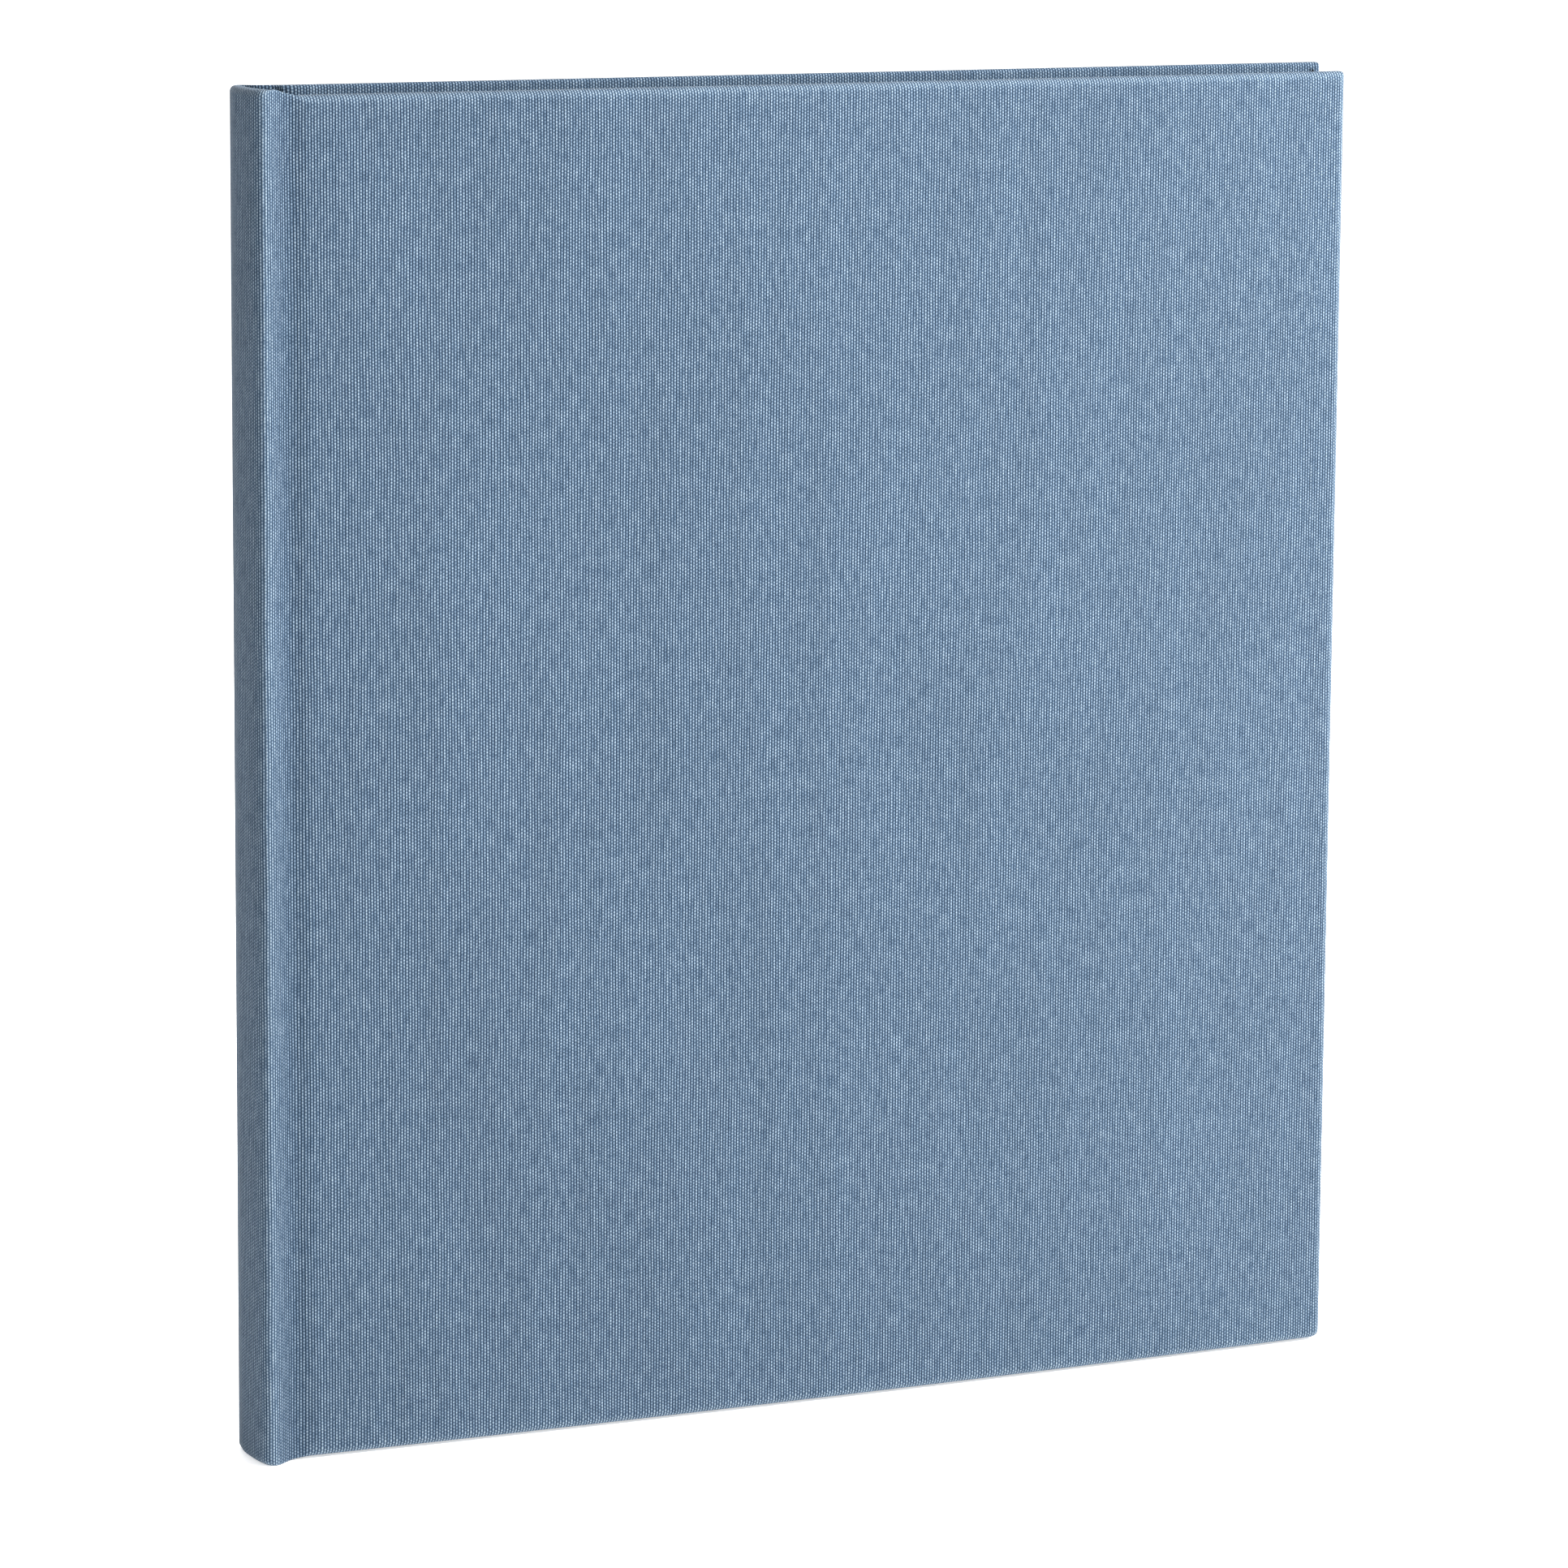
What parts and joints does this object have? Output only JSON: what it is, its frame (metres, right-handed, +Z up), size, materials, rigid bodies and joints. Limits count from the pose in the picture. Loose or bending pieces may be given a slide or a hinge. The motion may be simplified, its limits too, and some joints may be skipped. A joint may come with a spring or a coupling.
{
  "type": "scrapbook album",
  "caption": "Slim upright cloth-covered scrapbook album: stiff covers with grooved joints on a hollow-backed spine, opening onto card leaves hinged on guards.",
  "frame": {"origin": "middle of the album's footprint, on the surface it stands on", "axes": "+Z up the spine from tail to head, +X from the spine to the fore-edge, the front cover faces -Y"},
  "size_m": [0.2698, 0.0192, 0.3015],
  "materials": {
    "bookcloth": "plain-woven blue-grey cotton bookcloth, matt",
    "greyboard": "grey binder's board, matt",
    "endpaper": "smooth off-white endpaper",
    "leaf": "uncoated cream card",
    "guard": "folded linen strip",
    "mull": "open-weave starched cotton",
    "tape": "woven linen tape",
    "kraft": "brown lining paper",
    "headband": "blue and white silk bead"
  },
  "bodies": {
    "spine_block": {"spine_cloth": "bookcloth", "spine_inlay": "greyboard", "mull": "mull", "spine_lining": "kraft", "sewing_tape_1": "tape", "sewing_tape_2": "tape", "sewing_tape_3": "tape", "headband_head": "headband", "headband_tail": "headband", "guard_01": "guard", "guard_02": "guard", "guard_03": "guard", "guard_04": "guard", "guard_05": "guard", "guard_06": "guard", "guard_07": "guard", "guard_08": "guard", "guard_09": "guard", "guard_10": "guard", "guard_11": "guard", "guard_12": "guard"},
    "front_cover": {"front_board": "greyboard", "front_cover_cloth": "bookcloth", "front_pastedown": "endpaper"},
    "back_cover": {"back_board": "greyboard", "back_cover_cloth": "bookcloth", "back_pastedown": "endpaper"},
    "front_flyleaf": {"front_flyleaf": "endpaper"},
    "back_flyleaf": {"back_flyleaf": "endpaper"},
    "leaf_01": {"leaf_01": "leaf"},
    "leaf_02": {"leaf_02": "leaf"},
    "leaf_03": {"leaf_03": "leaf"},
    "leaf_04": {"leaf_04": "leaf"},
    "leaf_05": {"leaf_05": "leaf"},
    "leaf_06": {"leaf_06": "leaf"},
    "leaf_07": {"leaf_07": "leaf"},
    "leaf_08": {"leaf_08": "leaf"},
    "leaf_09": {"leaf_09": "leaf"},
    "leaf_10": {"leaf_10": "leaf"},
    "leaf_11": {"leaf_11": "leaf"},
    "leaf_12": {"leaf_12": "leaf"}
  },
  "joints": [
    {"name": "front_cover_hinge", "type": "hinge", "parent": "spine_block", "child": "front_cover", "pos_m": [-0.12878, -0.00831, 0], "axis": [0, 0, -1], "range_deg": [0, 175]},
    {"name": "back_cover_hinge", "type": "hinge", "parent": "spine_block", "child": "back_cover", "pos_m": [-0.12878, 0.00929, 0], "axis": [0, 0, 1], "range_deg": [0, 175]},
    {"name": "front_flyleaf_fold", "type": "hinge", "parent": "spine_block", "child": "front_flyleaf", "pos_m": [-0.12418, -0.00286, 0], "axis": [0, 0, -1], "range_deg": [0, 105]},
    {"name": "back_flyleaf_fold", "type": "hinge", "parent": "spine_block", "child": "back_flyleaf", "pos_m": [-0.12418, 0.0032, 0], "axis": [0, 0, 1], "range_deg": [0, 105]},
    {"name": "leaf_01_fold", "type": "hinge", "parent": "spine_block", "child": "leaf_01", "pos_m": [-0.12358, -0.00236, 0], "axis": [0, 0, -1], "range_deg": [0, 92.75]},
    {"name": "leaf_02_fold", "type": "hinge", "parent": "spine_block", "child": "leaf_02", "pos_m": [-0.12298, -0.0019, 0], "axis": [0, 0, -1], "range_deg": [0, 80.5]},
    {"name": "leaf_03_fold", "type": "hinge", "parent": "spine_block", "child": "leaf_03", "pos_m": [-0.12238, -0.00144, 0], "axis": [0, 0, -1], "range_deg": [0, 68.25]},
    {"name": "leaf_04_fold", "type": "hinge", "parent": "spine_block", "child": "leaf_04", "pos_m": [-0.12178, -0.00098, 0], "axis": [0, 0, -1], "range_deg": [0, 56]},
    {"name": "leaf_05_fold", "type": "hinge", "parent": "spine_block", "child": "leaf_05", "pos_m": [-0.12118, -0.00052, 0], "axis": [0, 0, -1], "range_deg": [0, 43.75]},
    {"name": "leaf_06_fold", "type": "hinge", "parent": "spine_block", "child": "leaf_06", "pos_m": [-0.12058, -0.00006, 0], "axis": [0, 0, -1], "range_deg": [0, 31.5]},
    {"name": "leaf_07_fold", "type": "hinge", "parent": "spine_block", "child": "leaf_07", "pos_m": [-0.12058, 0.0004, 0], "axis": [0, 0, 1], "range_deg": [0, 31.5]},
    {"name": "leaf_08_fold", "type": "hinge", "parent": "spine_block", "child": "leaf_08", "pos_m": [-0.12118, 0.00086, 0], "axis": [0, 0, 1], "range_deg": [0, 43.75]},
    {"name": "leaf_09_fold", "type": "hinge", "parent": "spine_block", "child": "leaf_09", "pos_m": [-0.12178, 0.00132, 0], "axis": [0, 0, 1], "range_deg": [0, 56]},
    {"name": "leaf_10_fold", "type": "hinge", "parent": "spine_block", "child": "leaf_10", "pos_m": [-0.12238, 0.00178, 0], "axis": [0, 0, 1], "range_deg": [0, 68.25]},
    {"name": "leaf_11_fold", "type": "hinge", "parent": "spine_block", "child": "leaf_11", "pos_m": [-0.12298, 0.00224, 0], "axis": [0, 0, 1], "range_deg": [0, 80.5]},
    {"name": "leaf_12_fold", "type": "hinge", "parent": "spine_block", "child": "leaf_12", "pos_m": [-0.12358, 0.0027, 0], "axis": [0, 0, 1], "range_deg": [0, 92.75]}
  ],
  "couplings": [
    {"joint": "front_flyleaf_fold", "follows": "front_cover_hinge", "ratio": 0.6},
    {"joint": "back_flyleaf_fold", "follows": "back_cover_hinge", "ratio": 0.6},
    {"joint": "leaf_01_fold", "follows": "front_cover_hinge", "ratio": 0.53},
    {"joint": "leaf_02_fold", "follows": "front_cover_hinge", "ratio": 0.46},
    {"joint": "leaf_03_fold", "follows": "front_cover_hinge", "ratio": 0.39},
    {"joint": "leaf_04_fold", "follows": "front_cover_hinge", "ratio": 0.32},
    {"joint": "leaf_05_fold", "follows": "front_cover_hinge", "ratio": 0.25},
    {"joint": "leaf_06_fold", "follows": "front_cover_hinge", "ratio": 0.18},
    {"joint": "leaf_07_fold", "follows": "back_cover_hinge", "ratio": 0.18},
    {"joint": "leaf_08_fold", "follows": "back_cover_hinge", "ratio": 0.25},
    {"joint": "leaf_09_fold", "follows": "back_cover_hinge", "ratio": 0.32},
    {"joint": "leaf_10_fold", "follows": "back_cover_hinge", "ratio": 0.39},
    {"joint": "leaf_11_fold", "follows": "back_cover_hinge", "ratio": 0.46},
    {"joint": "leaf_12_fold", "follows": "back_cover_hinge", "ratio": 0.53}
  ]
}
